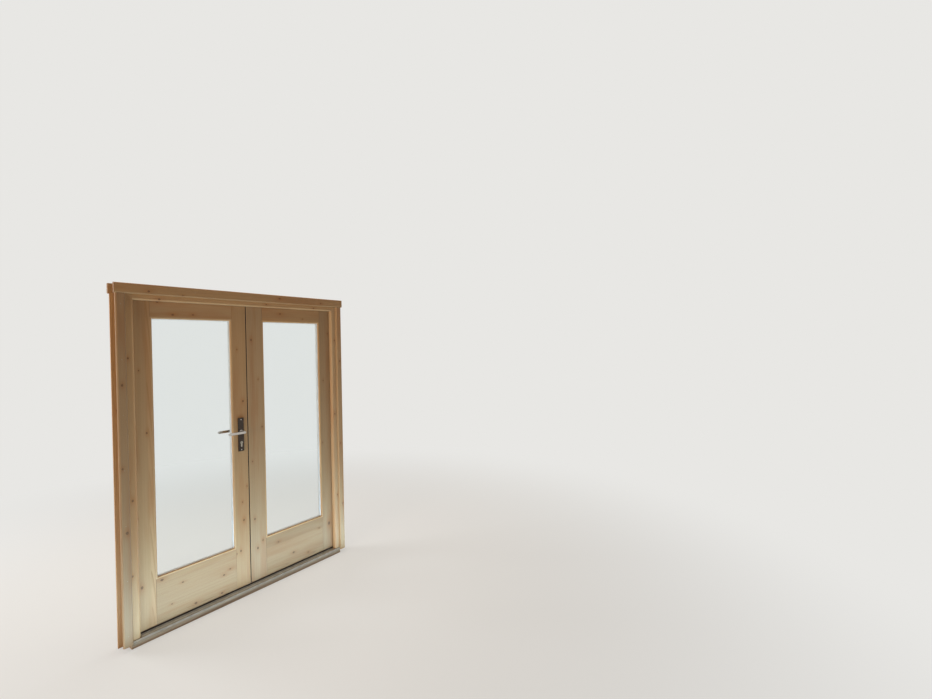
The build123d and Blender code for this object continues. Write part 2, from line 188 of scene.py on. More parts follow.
# Pine. Each board is cut from a trunk whose pith runs beside it, so its year rings are the
# distance from that pith, bent by slow waves and pushed aside by the knots. Wide pieces are
# glued from staves, each with a pith and a shade of its own.
pine = {
    "springWood": (184, 147, 104),
    "summerWood": (140, 97, 60),
    "warmBand": (166, 114, 70),
    "resin": (112, 78, 48),
    "boardTint": 0.035,      # how much redder or yellower a board may be
    "blueTint": 1.6,         # and how much more its blue changes than its red
    "ringWidth": 3.2,        # mm
    "ringContrast": 0.70,
    "year": [(0.0, 0.10), (0.42, 0.0), (0.80, 0.62), (0.93, 1.0), (1.0, 0.12)],  # how dark
    "paleYear": 0.4,         # darkness of the palest year's summer
    "waveScales": (7.0, 7.0, 1.1),         # per metre across, through and along the board
    "waveSize": 9.0,         # mm that a ring strays along the board
    "waveThrough": 0.6,      # share of it that goes through the board
    "rippleScales": (55.0, 55.0, 3.5),
    "ripple": 0.7,           # mm
    "taper": 0.012,          # slope of the pith against the board
    "pithNear": 22.0,        # mm, nearest pith to the face
    "pithFar": 110.0,
    "pithSide": 130.0,       # mm, how far the pith may lie to a side
    "fibreScales": (620.0, 620.0, 9.0),
    "fibreStrength": 0.34,
    "cloudScales": (16.0, 10.0, 1.6),
    "warmClouds": (0.42, 0.72),
    "warmShare": 0.55,
    "staveShade": 0.14,      # how much the staves differ
    "staveDarker": 0.6,      # share of it that makes them darker
    "ductScales": (1500.0, 1500.0, 60.0),  # resin ducts, short dark dashes
    "ductLevels": (0.70, 0.76),
    "ductDark": 0.5,
    "roughness": 0.46,
    "fibreRough": 0.18,
    "summerGloss": 0.08,
    "grainHeight": 0.14,     # mm
    "relief": {"fibre": 0.5, "summer": 0.5, "rim": 0.8, "duct": 0.4},
}

knot = {
    "wood": (124, 88, 58),
    "rim": (78, 52, 34),
    "size": 0.85,            # of the radius that the board's list gives
    "longer": 0.6,           # weight of the square of the distance along the grain
    "wobbleScale": 160.0,
    "wobble": 0.7,
    "pushWide": 3.2,         # reach of the push on the rings, in radii
    "pushLong": 7.0,
    "push": 0.72,
    "heart": (0.75, 1.1),    # fades out between these radii
    "rimIn": (0.5, 0.95),
    "rimOut": (1.0, 1.5),
    "dark": 0.85,
    "rimDark": 0.7,
    "halo": 0.55,            # warmer wood round it
}

# Along the long arrises a painted highlight, paler in patches, stands for the light their rounded
# edges catch, and they are smoother there; end grain drinks more coating.
arris = {"band": (0.6, 3.0), "worn": 0.75, "patches": (0.25, 0.6), "paler": 1.25, "gloss": 0.2,
         "endBand": (0.3, 1.4), "endDark": 0.55}  # bands in mm from the edge

# The shade column is the board's tone and, for the inner casings and the pieces of the leaves, also
# painted shade: they are set darker where the door lay in darker light, the bottom rails most.
# node: grain direction, stave width in mm, seed, shade, knots as x, z and radius in mm
boards = {
    "left_jamb": ("z", 200, 11, 0.97, [(-700, 1612, 4), (-694, 820, 5), (-703, 402, 4)]),
    "right_jamb": ("z", 200, 23, 1.02, [(697, 1705, 4), (690, 1120, 5), (699, 470, 4)]),
    "head_jamb": ("x", 200, 37, 1.00, [(-539, 1948, 5), (122, 1957, 4), (508, 1952, 4)]),
    "left_inner_casing": ("z", 200, 41, 0.71, [(-735, 1466, 5), (-728, 655, 6), (-742, 1010, 4)]),
    "right_inner_casing": ("z", 200, 59, 0.82, [(736, 1540, 5), (729, 880, 4), (740, 392, 5)]),
    "head_inner_casing": ("x", 200, 61, 0.75, [(-599, 1988, 5), (-420, 1979, 3), (214, 2004, 5),
                                               (560, 1990, 4)]),
    "left_outer_casing": ("z", 200, 71, 0.96, [(-730, 1322, 6), (-724, 518, 5)]),
    "right_outer_casing": ("z", 200, 83, 0.98, [(728, 1650, 5), (734, 930, 6), (722, 265, 4)]),
    "head_outer_casing": ("x", 200, 97, 0.94, [(-402, 2002, 5), (36, 1992, 4), (455, 1996, 6)]),
    "left_hinge_stile": ("z", 58, 103, 0.93, [(-649, 305, 6), (-607, 1180, 4), (-640, 1540, 3),
                                              (-663, 702, 3)]),
    "left_meeting_stile": ("z", 52, 113, 0.81, [(-40, 1301, 5), (-51, 500, 5), (-58, 623, 3),
                                                (-25, 723, 3), (-76, 300, 5), (-103, 290, 3),
                                                (-74, 1648, 3)]),
    "left_top_rail": ("x", 150, 127, 0.97, [(-539, 1936, 5), (-458, 1864, 5), (-344, 1868, 4)]),
    "left_bottom_rail": ("x", 98, 131, 0.82, [(-548, 307, 6), (-436, 246, 4), (-191, 186, 5),
                                              (-150, 210, 4), (-365, 85, 6), (-206, 75, 5),
                                              (-498, 142, 3)]),
    "right_hinge_stile": ("z", 58, 149, 0.80, [(637, 254, 9), (608, 1392, 4), (592, 905, 3),
                                               (655, 1760, 3)]),
    "right_meeting_stile": ("z", 64, 151, 0.82, [(25, 1712, 5), (26, 482, 5), (81, 317, 4),
                                                 (43, 275, 6), (92, 1108, 4), (70, 1440, 3),
                                                 (18, 880, 3)]),
    "right_top_rail": ("x", 150, 163, 0.94, [(247, 1899, 5), (432, 1868, 3)]),
    "right_bottom_rail": ("x", 98, 173, 0.72, [(543, 246, 4), (318, 141, 6), (197, 262, 4),
                                               (442, 96, 4)]),
    "left_drip_rail": ("x", 200, 181, 0.95, [(-410, 80, 4)]),
    "right_drip_rail": ("x", 200, 191, 0.95, [(262, 84, 4)]),
}


def grainSpace(finish, low, high, grain):  # across, through and along the board, from its middle
    centre = tuple((low + high) / 2)
    turn = (0.0, math.radians(90.0), 0.0) if grain == "x" else (0.0, 0.0, 0.0)
    return finish.place(centre, turn)


def pineFinish(name, low, high, grain, stave, seed, shade, knots, vector=None):
    finish = Finish(name)
    vector = vector(finish) if vector else grainSpace(finish, low, high, grain)
    spot = across, through, along = finish.parts(vector)
    redder = math.sin(seed * 2.4) * pine["boardTint"]
    # shade: the board's tone, and for some boards painted shade as well
    shade = shade * np.array([1.0 + redder, 1.0, 1.0 - pine["blueTint"] * redder])

    def pattern(kind, seeded, detail, rough=0.5):
        return finish.noise(finish.stretch(spot, pine[kind], seeded, seed), 1.0, detail, rough)

    wave = pattern("waveScales", 0, 1.0) - 0.5
    ripple = pattern("rippleScales", 1, 1.0) - 0.5

    # each knot pushes the rings aside and darkens the wood at its middle
    pushed = across
    heart, rim, halo = 0.0, 0.0, 0.0
    middle = (low + high) / 2
    wobble = finish.noise(vector, knot["wobbleScale"], 1.0) - 0.5
    for x, z, radius in knots:
        dx, dz = x * millimetre - middle[0], z * millimetre - middle[2]
        atAcross, atAlong = (-dz, dx) if grain == "x" else (dx, dz)
        size = radius * knot["size"] * millimetre
        sideways, lengthways = across - atAcross, along - atAlong
        away = root(sideways * sideways + lengthways * lengthways * knot["longer"])
        reach = away / size + wobble * knot["wobble"]
        bulge = (fade(sideways / (knot["pushWide"] * size))
                 * fade(lengthways / (knot["pushLong"] * size)))
        pushed = pushed - sideways * bulge * knot["push"]
        heart = larger(1.0 - rise(reach, *knot["heart"]), heart)
        rim = larger(rise(reach, *knot["rimIn"]) * (1.0 - rise(reach, *knot["rimOut"])), rim)
        halo = larger(bulge, halo)

    # the pith of each stave, and the rings round it; odd factors part the seeds
    row = (across / (stave * millimetre) + 0.5 + seed * 0.37).maths("FLOOR")
    chance = finish.node("TexWhiteNoise", {"noise_dimensions": "2D"},
                         {"Vector": finish.join(row * 1.7 + seed, row * 0.3 + seed, 0.0)}, "Color")
    pick = finish.parts(chance)
    pithSide = (pick[0] - 0.5) * (2 * pine["pithSide"] * millimetre)
    pithDepth = (pick[1] * (pine["pithFar"] - pine["pithNear"]) + pine["pithNear"]) * millimetre
    waveSize = pine["waveSize"] * millimetre
    u = pushed - pithSide + (wave * waveSize + ripple * (pine["ripple"] * millimetre))
    v = through + pithDepth + along * pine["taper"] + wave * (pine["waveThrough"] * waveSize)
    rings = root(u * u + v * v) / (pine["ringWidth"] * millimetre)
    year = rings.maths("FLOOR")
    band = finish.node("ValToRGB", {"stops": pine["year"]}, {"Fac": rings.maths("FRACT")})
    strength = finish.node("TexWhiteNoise", {"noise_dimensions": "1D"}, {"W": year + seed}, "Value")
    summer = band * (strength * (1.0 - pine["paleYear"]) + pine["paleYear"])

    fibre = pattern("fibreScales", 1, 3.0, 0.6)
    cloud = pattern("cloudScales", 0, 3.0, 0.55)
    tone = summer * pine["ringContrast"] + (fibre - 0.5) * pine["fibreStrength"]
    tone = smaller(larger(tone, 0.0), 1.0)
    wood = finish.mix(tone, linear(pine["springWood"], shade), linear(pine["summerWood"], shade))
    warm = rise(cloud, *pine["warmClouds"]) * pine["warmShare"] + halo * knot["halo"]
    wood = finish.mix(smaller(warm, 1.0), wood, linear(pine["warmBand"], shade))
    light = pick[2] * pine["staveShade"] + (1.0 - pine["staveShade"] * pine["staveDarker"])
    wood = finish.mix(1.0, wood, finish.join(light, light, light), "MULTIPLY")
    duct = rise(pattern("ductScales", 2, 0.0), *pine["ductLevels"]) * summer
    wood = finish.mix(duct * pine["ductDark"], wood, linear(pine["resin"], shade))
    if knots:
        wood = finish.mix(heart * knot["dark"], wood, linear(knot["wood"], shade))
        wood = finish.mix(smaller(rim, 1.0) * knot["rimDark"], wood, linear(knot["rim"], shade))

    # how far a point lies in from the long arrises and from the ends of the board
    half = (high - low) / 2
    halfAcross, halfAlong = (half[2], half[0]) if grain == "x" else (half[0], half[2])
    inset = larger(float(halfAcross) - abs(across), float(half[1]) - abs(through))
    arrisHighlightBand = 1.0 - rise(inset, *(edge * millimetre for edge in arris["band"]))
    # painted highlight: paler wood in patches along the arrises
    worn = arrisHighlightBand * rise(cloud, *arris["patches"]) * arris["worn"]
    wood = finish.mix(worn, wood, linear(pine["springWood"], arris["paler"] * shade))
    fromEnd = float(halfAlong) - abs(along)
    atEnd = 1.0 - rise(fromEnd, *(edge * millimetre for edge in arris["endBand"]))
    wood = finish.mix(atEnd * arris["endDark"], wood, linear(pine["resin"], shade))

    relief = pine["relief"]
    height = (fibre * relief["fibre"] + summer * relief["summer"]
              - rim * relief["rim"] - duct * relief["duct"])
    return finish.surface({
        "Base Color": wood,
        "Roughness": ((fibre - 0.5) * pine["fibreRough"] - summer * pine["summerGloss"]
                      - worn * arris["gloss"] + pine["roughness"]),
        "Specular IOR Level": 0.35,
        "Normal": finish.bump(height, pine["grainHeight"] * millimetre)})


def wear(node, material):
    if not nodes[node].material_slots:
        nodes[node].data.materials.append(material)
    for place in nodes[node].material_slots:
        place.material = material


def corners(node):
    low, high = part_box(node)
    return np.array(low), np.array(high)


def jointAt(name):
    return next(joint for joint in frame["joints"] if joint["name"] == name)["pos_m"]


def dressTimber():
    for node, (grain, stave, seed, shade, knots) in boards.items():
        low, high = corners(node)
        wear(node, pineFinish("pine_" + node, low, high, grain, stave, seed, shade, knots))


# A glazing bead frame has upright and level bars in one piece, so its grain turns at the mitres.
# The stave, in mm, is so wide that no bar is glued; each side has a seed and a shade.
beadTimber = {"stave": 900, "left": (211, 1.04), "right": (223, 1.03)}


def dressBeads():
    for side in ("left", "right"):
        node = side + "_beads"
        seed, shade = beadTimber[side]
        low, high = corners(node)
        half = (high - low) / 2

        def beadSpace(finish):
            upright = grainSpace(finish, low, high, "z")
            level = grainSpace(finish, low, high, "x")
            x, _, z = finish.parts(upright)
            onLevel = (abs(z) - float(half[2])) > (abs(x) - float(half[0]))
            return finish.node("Mix", {"data_type": "VECTOR"},
                               {0: onLevel, 4: upright, 5: level}, output=1)
        wear(node, pineFinish("pine_" + node, low, high, "z", beadTimber["stave"], seed, shade,
                              [], beadSpace))


# Oiled hardwood of the threshold: darker, with short pores along the grain.
hardwood = {
    "light": (170, 150, 124),
    "dark": (134, 112, 88),
    "poreDark": (92, 74, 56),
    "streakScales": (90.0, 90.0, 1.8),     # per metre across, through and along the grain
    "streaks": (0.3, 0.7),
    "poreScales": (900.0, 900.0, 22.0),
    "pores": (0.62, 0.72),
    "poreShare": 0.7,
    "roughness": 0.42,
    "streakRough": 0.2,
    "streakHeight": 0.4,
    "grainHeight": 0.15,     # mm
}


def hardwoodFinish():
    finish = Finish("threshold_hardwood")
    low, high = corners("threshold")
    spot = finish.parts(grainSpace(finish, low, high, "x"))
    streak = finish.noise(finish.stretch(spot, hardwood["streakScales"]), 1.0, 3.0)
    pore = finish.noise(finish.stretch(spot, hardwood["poreScales"]), 1.0, 1.0)
    wood = finish.mix(rise(streak, *hardwood["streaks"]), linear(hardwood["light"]),
                      linear(hardwood["dark"]))
    pores = rise(pore, *hardwood["pores"])
    wood = finish.mix(pores * hardwood["poreShare"], wood, linear(hardwood["poreDark"]))
    height = streak * hardwood["streakHeight"] - pores
    return finish.surface({
        "Base Color": wood,
        "Roughness": streak * hardwood["streakRough"] + hardwood["roughness"],
        "Normal": finish.bump(height, hardwood["grainHeight"] * millimetre)})


# Metals. Brushing runs along one axis; dirt and handling dull them a little.
metal = {
    "lineScale": 900.0,      # brushed lines per metre
    "lineLength": 60.0,      # against their width
    "lineHeight": 0.02,      # mm
    "lineRough": 0.5,
    "hazeScale": 28.0,
    "haze": (0.3, 0.75),
    "hazeRough": 0.10,
}

# finish: material, colour, roughness, axis and strength of the brushing; for some also the
# shade of the dull places and how metallic they are
metals = {
    "steel": ("brushed_steel", (168, 166, 160), 0.30, "z", 0.5),
    "zinc": ("zinc_plate", (176, 174, 164), 0.34, "z", 0.25),
    "plateSteel": ("dark_polished_plate", (74, 66, 60), 0.20, "z", 0.25),
    "leverSteel": ("polished_lever", (208, 203, 196), 0.27, "x", 0.15),
    "nickel": ("satin_nickel", (178, 172, 158), 0.26, "y", 0.2),
    "aluminium": ("spacer_aluminium", (226, 226, 223), 0.45, "z", 0.3, 0.9, 0.35),
    "ribbed": ("bright_aluminium", (214, 210, 200), 0.34, "x", 0.5, 0.8),
}


def brushedLines(finish, spot, along):
    scales = [metal["lineScale"]] * 3
    scales["xyz".index(along)] /= metal["lineLength"]
    return finish.noise(finish.stretch(finish.parts(spot), scales), 1.0, 2.0)


def metalFinish(name, colour, roughness, along, brushing, shadow=0.75, metallic=1.0):
    finish = Finish(name)
    spot = finish.place()
    lines = brushedLines(finish, spot, along)
    tone = rise(finish.noise(spot, metal["hazeScale"], 4.0, 0.6), *metal["haze"])
    return finish.surface({
        "Base Color": finish.mix(tone, linear(colour), linear(colour, shadow)),
        "Metallic": metallic,
        "Roughness": (tone * metal["hazeRough"] + (lines - 0.5) * brushing * metal["lineRough"]
                      + roughness),
        "Normal": finish.bump(lines, metal["lineHeight"] * millimetre, brushing)})


# Trodden plate: brushed along its length, with painted shade under the leaves: the plate turns dark
# and dull where their shadow falls.
treadPlate = {"colour": (178, 170, 158), "shadow": 0.72, "metallic": 0.85, "roughness": 0.46,
              "lineRough": 0.15, "brushing": 0.3}
shadeUnderLeaves = {"colour": (52, 46, 40), "edge": (-11.0, -3.0), "stray": 4.0, "share": 0.9,
         "rough": 0.3}  # edge and stray in mm


def platedFinish():
    finish = Finish("trodden_aluminium")
    spot = finish.place()
    lines = brushedLines(finish, spot, "x")
    cloud = finish.noise(spot, metal["hazeScale"], 4.0, 0.6)
    worn = finish.mix(rise(cloud, *metal["haze"]), linear(treadPlate["colour"]),
                      linear(treadPlate["colour"], treadPlate["shadow"]))
    # painted shade: darker and less metallic towards the back, under the leaves
    back = finish.parts(spot)[1] + (cloud - 0.5) * (shadeUnderLeaves["stray"] * millimetre)
    underLeafShade = rise(back, *(edge * millimetre for edge in shadeUnderLeaves["edge"]))
    return finish.surface({
        "Base Color": finish.mix(underLeafShade * shadeUnderLeaves["share"], worn, linear(shadeUnderLeaves["colour"])),
        "Metallic": (1.0 - underLeafShade) * treadPlate["metallic"],
        "Roughness": (underLeafShade * shadeUnderLeaves["rough"] + (lines - 0.5) * treadPlate["lineRough"]
                      + treadPlate["roughness"]),
        "Normal": finish.bump(lines, metal["lineHeight"] * millimetre, treadPlate["brushing"])})


# Rubber, and sealant in the same way: fine grit and paler clouds.
rubbers = {"rubber": ("dark_rubber", (21, 16, 13)), "sealant": ("pale_sealant", (214, 212, 204))}
rubberGrain = {"gritScale": 900.0, "gritRough": 0.2, "gritHeight": 0.05, "roughness": 0.52,
               "cloudScale": 22.0, "clouds": (0.3, 0.75), "paler": 1.3}


def rubberFinish(name, colour):
    finish = Finish(name)
    spot = finish.place()
    grit = finish.noise(spot, rubberGrain["gritScale"], 2.0)
    cloud = rise(finish.noise(spot, rubberGrain["cloudScale"], 3.0), *rubberGrain["clouds"])
    return finish.surface({
        "Base Color": finish.mix(cloud, linear(colour), linear(colour, rubberGrain["paler"])),
        "Roughness": grit * rubberGrain["gritRough"] + rubberGrain["roughness"],
        "Specular IOR Level": 0.3,
        "Normal": finish.bump(grit, rubberGrain["gritHeight"] * millimetre)})


# Float glass: light goes straight through with a faint green, and it mirrors more at low angles.
glass = {
    "tint": (0.982, 0.993, 0.995, 1.0),
    "mirror": (0.86, 0.9, 0.9, 1.0),
    "mirrorRough": 0.02,
    "mirrorAtFront": 0.035,
    "mirrorAtEdge": 0.9,
    "edgeBlend": 0.18,
    "dust": 0.02,
    "dustScale": 9.0,
    "dustClouds": (0.45, 0.8),
}


def glassFinish():
    finish = Finish("float_glass")
    facing = finish.node("LayerWeight", None, {"Blend": glass["edgeBlend"]}, "Facing")
    cloud = finish.noise(finish.place(), glass["dustScale"], 5.0, 0.65)
    dusty = rise(cloud, *glass["dustClouds"]) * glass["dust"]
    clear = finish.node("BsdfTransparent", None, {"Color": glass["tint"]})
    mirror = finish.node("BsdfPrincipled", None,
                         {"Base Color": glass["mirror"], "Roughness": glass["mirrorRough"],
                          "Specular IOR Level": 1.0, "Metallic": 1.0}, "BSDF")
    share = facing * facing * facing * glass["mirrorAtEdge"] + dusty + glass["mirrorAtFront"]
    return finish.end(finish.node("MixShader", None,
                                  {0: smaller(share, 1.0), 1: clear, 2: mirror}))


# finish: the nodes that wear it
dressed = {
    "hardwood": ["threshold"],
    "treadPlate": ["threshold_plate"],
    "steel": ["lock_case", "lock_face_plate", "strike_plate", "flush_bolts", "spindle"],
    "zinc": ["left_jamb_hinges", "right_jamb_hinges", "left_leaf_hinges", "right_leaf_hinges"],
    "glass": ["left_glass", "right_glass"],
    "aluminium": ["left_spacer", "right_spacer"],
    "rubber": ["left_brush", "right_brush", "left_jamb_seal", "right_jamb_seal", "head_seal",
               "meeting_seal"],
    "nickel": ["lock_cylinder"],
    "plateSteel": ["inner_back_plate", "outer_back_plate"],
    "leverSteel": ["inner_lever", "outer_lever"],
}


def dressRest():
    made = {name: metalFinish(*values) for name, values in metals.items()}
    made.update({name: rubberFinish(*values) for name, values in rubbers.items()})
    made.update(glass=glassFinish(), hardwood=hardwoodFinish(), treadPlate=platedFinish())
    for name, worn in dressed.items():
        for node in worn:
            wear(node, made[name])
    return made


dressTimber()
dressBeads()
finishes = dressRest()
print("finishes made")


# Surfaces: a grid of points is a surface, and any number of copies of one grid is one mesh.
# grids has the shape copies, rows, columns, 3. A closed grid joins its last line to its first.
def gridPiece(name, grids, material=None, closedRows=False, closedColumns=True, sharp=35.0):
    copies, rows, columns = grids.shape[:3]
    row = np.arange(rows if closedRows else rows - 1)
    column = np.arange(columns if closedColumns else columns - 1)
    k, i, j = (axis.ravel() for axis in np.meshgrid(np.arange(copies), row, column, indexing="ij"))
    base = k * rows * columns
    here, below = base + i * columns, base + ((i + 1) % rows) * columns
    right = (j + 1) % columns
    faces = np.stack([here + j, here + right, below + right, below + j], axis=1)
    mesh = bpy.data.meshes.new(name)
    mesh.from_pydata(grids.reshape(-1, 3).tolist(), [], faces.tolist())
    shell = bmesh.new()
    shell.from_mesh(mesh)
    bmesh.ops.remove_doubles(shell, verts=shell.verts, dist=mergeReach)
    bmesh.ops.recalc_face_normals(shell, faces=shell.faces)
    shell.to_mesh(mesh)
    shell.free()
    mesh.shade_smooth()
    mesh.set_sharp_from_angle(angle=math.radians(sharp))
    piece = bpy.data.objects.new(name, mesh)
    bpy.context.scene.collection.objects.link(piece)
    if material:
        mesh.materials.append(material)
    return piece


def finishPiece(piece, body):
    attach(piece, body)


# A closed outline carried through rows, with each end drawn to the middle of its row.
def capped(rows):
    ends = [np.broadcast_to(row.mean(0), row.shape) for row in (rows[0], rows[-1])]
    return np.stack([ends[0], *rows, ends[1]])[None]


# A solid of revolution: radius and height of each row, turned round the Z axis.
def turned(radii, heights, columns):
    angle = np.linspace(0.0, 2 * math.pi, columns, endpoint=False)
    r, h = np.array(radii, float)[:, None], np.array(heights, float)[:, None]
    return np.stack([r * np.cos(angle), r * np.sin(angle), h + 0 * angle], axis=-1)


# Copies of a grid drawn in mm about the origin, each set on a place in metres with its Z axis
# facing out and turned by its own spin.
def setOut(grid, places, facing, spins=None):
    places = np.array(places, float).reshape(-1, 3)
    facing = np.array(facing, float)
    helper = np.array([1.0, 0.0, 0.0]) if abs(facing[2]) > 0.5 else np.array([0.0, 0.0, 1.0])
    side = np.cross(helper, facing)
    top = np.cross(facing, side)
    spins = np.zeros(len(places)) if spins is None else np.array(spins, float)
    c, s = np.cos(spins)[:, None, None], np.sin(spins)[:, None, None]
    x = grid[None, ..., 0] * c - grid[None, ..., 1] * s
    y = grid[None, ..., 0] * s + grid[None, ..., 1] * c
    z = grid[None, ..., 2] + 0 * x
    local = x[..., None] * side + y[..., None] * top + z[..., None] * facing
    return places[:, None, None, :] + local * millimetre


# Screw head: a low dome, height falling with the square of the radius, with a cross sunk into
# it where the distance to the nearer arm is small, and a rim that runs into the surface.
screw = {
    "rows": [0.0, 0.1, 0.2, 0.3, 0.4, 0.5, 0.6, 0.72, 0.86, 1.0],  # shares of the radius
    "columns": 32,
    "size": 3.5,             # mm, radius of the head that the heights below belong to
    "dome": 0.45,
    "crossWide": 0.15,       # shares of the radius, as the two after it
    "crossReach": 0.58,
    "crossSlope": (0.06, 0.08),
    "crossDeep": 0.55,
    "crossRise": 0.4,        # how much shallower the cross gets towards the rim
    "rimDeep": 0.5,          # mm
    "seed": 8,
}


def screwGrid(radius):
    share = np.array(screw["rows"])[:, None]
    angle = np.linspace(0.0, 2 * math.pi, screw["columns"], endpoint=False)[None, :]
    x, y = share * np.cos(angle), share * np.sin(angle)
    side, end = screw["crossSlope"]
    arm = np.clip((screw["crossWide"] - np.minimum(abs(x), abs(y))) / side, 0, 1)
    arm = arm * np.clip((screw["crossReach"] - share) / end, 0, 1)
    sunk = arm * screw["crossDeep"] * (1 - screw["crossRise"] * share)
    height = (screw["dome"] * (1 - share ** 2) - sunk) * radius / screw["size"]
    top = np.stack([x * radius, y * radius, height], axis=-1)
    rim = turned([radius, 0.0], [-screw["rimDeep"], -screw["rimDeep"]], screw["columns"])
    return np.concatenate([top, rim])


def makeScrews(name, groups, body, material):  # groups: radius in mm, places, facing
    chance = np.random.default_rng(screw["seed"])
    pieces = [setOut(screwGrid(radius), places, facing, chance.uniform(0, math.pi, len(places)))
              for radius, places, facing in groups]
    finishPiece(gridPiece(name, np.concatenate(pieces), material, sharp=50), body)


hinge = {"tall": 100.0, "count": 3, "plate": 2.5, "screwRadius": 3.9,
         "screwsAt": [(-38.0, 7.0), (-13.0, 20.0), (13.0, 7.0), (38.0, 20.0)],  # z, y on the plate
         "capRadius": 5.6, "capTall": 5.6, "capLip": 0.4, "footRadius": 6.4, "footTall": 3.0,
         "rows": 7, "columns": 24}  # sizes in mm


def hingeHeights(side):
    low, high = corners(side + "_leaf_hinges")
    half = hinge["tall"] / 2 * millimetre
    return np.linspace(low[2] + half, high[2] - half, hinge["count"])


def makeHingeScrews():
    plate, radius = hinge["plate"] * millimetre, hinge["screwRadius"]
    for side, out in (("left", -1.0), ("right", 1.0)):
        jambLow, jambHigh = corners(side + "_jamb_hinges")
        leafLow, leafHigh = corners(side + "_leaf_hinges")
        jambFace = jambLow[0] + plate if out < 0 else jambHigh[0] - plate
        leafFace = leafHigh[0] - plate if out < 0 else leafLow[0] + plate
        spots = [(z + up * millimetre, jambLow[1] + back * millimetre)
                 for z in hingeHeights(side) for up, back in hinge["screwsAt"]]
        for part, body, face, facing in (("_jamb", "frame", jambFace, -out),
                                         ("_leaf", side + "_leaf", leafFace, out)):
            places = [(face, y, z) for z, y in spots]
            makeScrews(side + part + "_hinge_screws", [(radius, places, (facing, 0, 0))], body,
                       finishes["zinc"])


# Caps on the hinge pins and feet under the lower barrels: quarter ellipses turned round the pin.
def makeHingeCaps():
    lift = np.linspace(math.pi / 2, 0.0, hinge["rows"])
    columns, lip = hinge["columns"], hinge["capLip"]
    cap = turned(hinge["capRadius"] * np.cos(lift), hinge["capTall"] * np.sin(lift), columns)
    cap = np.concatenate([cap, turned([hinge["capRadius"], 0.0], [lip, lip], columns)])
    foot = turned(hinge["footRadius"] * np.cos(lift), -hinge["footTall"] * np.sin(lift), columns)
    foot = np.concatenate([foot, turned([0.0], [0.0], columns)])
    half = hinge["tall"] / 2 * millimetre
    for side in ("left", "right"):
        x, y = jointAt(side + "_leaf_swing")[:2]
        for part, shape, up in (("_hinge_caps", cap, half), ("_hinge_feet", foot, -half)):
            places = [(x, y, z + up) for z in hingeHeights(side)]
            finishPiece(gridPiece(side + part, setOut(shape, places, (0, 0, 1)),
                                  finishes["zinc"]), "frame")


fixings = {"plateScrew": 3.4, "plateInset": 11.0, "edgeScrew": 3.2, "edgeInset": 9.0,
           "boltInset": 12.0, "sillScrew": 3.8, "sillSpread": (-0.56, -0.28, 0.0, 0.28, 0.56),
           "boltPlate": 160.0, "sillBack": 30.0}  # mm, but the spread in metres


# Places of two screws near the foot and the top of an upright plate.
def endSpots(low, high, inset, x, y):
    return [(x, y, low[2] + inset * millimetre), (x, y, high[2] - inset * millimetre)]


def makeLockScrews():
    low, high = corners("inner_back_plate")
    spots = endSpots(low, high, fixings["plateInset"], jointAt("lever_turn")[0], low[1])
    makeScrews("back_plate_screws", [(fixings["plateScrew"], spots, (0, -1, 0))], "left_leaf",
               finishes["leverSteel"])
    low, high = corners("lock_face_plate")
    leafEdge = corners("left_meeting_stile")[1][0]
    middle = (low[1] + high[1]) / 2
    spots = endSpots(low, high, fixings["edgeInset"], leafEdge, middle)
    makeScrews("face_plate_screws", [(fixings["edgeScrew"], spots, (1, 0, 0))], "left_leaf",
               finishes["steel"])
    low, high = corners("strike_plate")
    plates = [endSpots(low, high, fixings["edgeInset"], low[0], middle)]
    low, high = corners("flush_bolts")
    tall = fixings["boltPlate"] * millimetre
    for bottom in (low[2], high[2] - tall):
        plates.append(endSpots((0, 0, bottom), (0, 0, bottom + tall), fixings["boltInset"],
                               low[0], middle))
    makeScrews("right_edge_screws", [(fixings["edgeScrew"], spots, (-1, 0, 0)) for spots in plates],
               "right_leaf", finishes["steel"])
    low, high = corners("threshold_plate")
    spots = [(x, low[1] + fixings["sillBack"] * millimetre, high[2])
             for x in fixings["sillSpread"]]
    makeScrews("threshold_screws", [(fixings["sillScrew"], spots, (0, 0, 1))], "frame",
               finishes["zinc"])


# Collars round the lever necks: a flat ring whose outer edge is a quarter circle.
collar = {"inner": 9.25, "outer": 12.6, "tall": 1.6, "sink": 0.2, "edgeRows": 5,
          "columns": 48}  # radii and heights in mm


def makeCollars():
    spot = jointAt("lever_turn")
    lift = np.linspace(0.0, math.pi / 2, collar["edgeRows"])
    edge = collar["outer"] - collar["tall"] * (1 - np.cos(lift))
    radii = [collar["inner"], collar["outer"], *edge, collar["inner"]]
    heights = [-collar["sink"], -collar["sink"], *(collar["tall"] * np.sin(lift)), collar["tall"]]
    ring = turned(radii, heights, collar["columns"])
    faces = ((corners("inner_back_plate")[0][1], -1.0), (corners("outer_back_plate")[1][1], 1.0))
    rings = [setOut(ring, [(spot[0], face, spot[2])], (0, facing, 0)) for face, facing in faces]
    finishPiece(gridPiece("lever_collars", np.concatenate(rings), finishes["leverSteel"],
                          closedRows=True), "left_leaf")


# Brad heads: low domes in rows along the casing boards and the glazing beads.
brads = {"casingRadius": 1.5, "casingStep": 330.0, "casingEnd": 60.0, "beadRadius": 0.8,
         "beadStep": 245.0, "beadEnd": 45.0, "beadBack": 1.6, "height": 0.3, "columns": 10,
         "radii": [0.0, 0.55, 0.85, 1.0, 1.0, 0.0],       # shares, row by row
         "heights": [1.0, 0.8, 0.4, 0.0, -1.0, -1.0]}


def bradGrid(radius):
    return turned(np.array(brads["radii"]) * radius,
                  np.array(brads["heights"]) * brads["height"], brads["columns"])


def rowOf(start, end, inset, step):  # even places between the insets, in metres
    length = (end - start) / millimetre - 2 * inset
    count = max(2, int(round(length / step)) + 1)
    return start + inset * millimetre + np.linspace(0, length, count) * millimetre


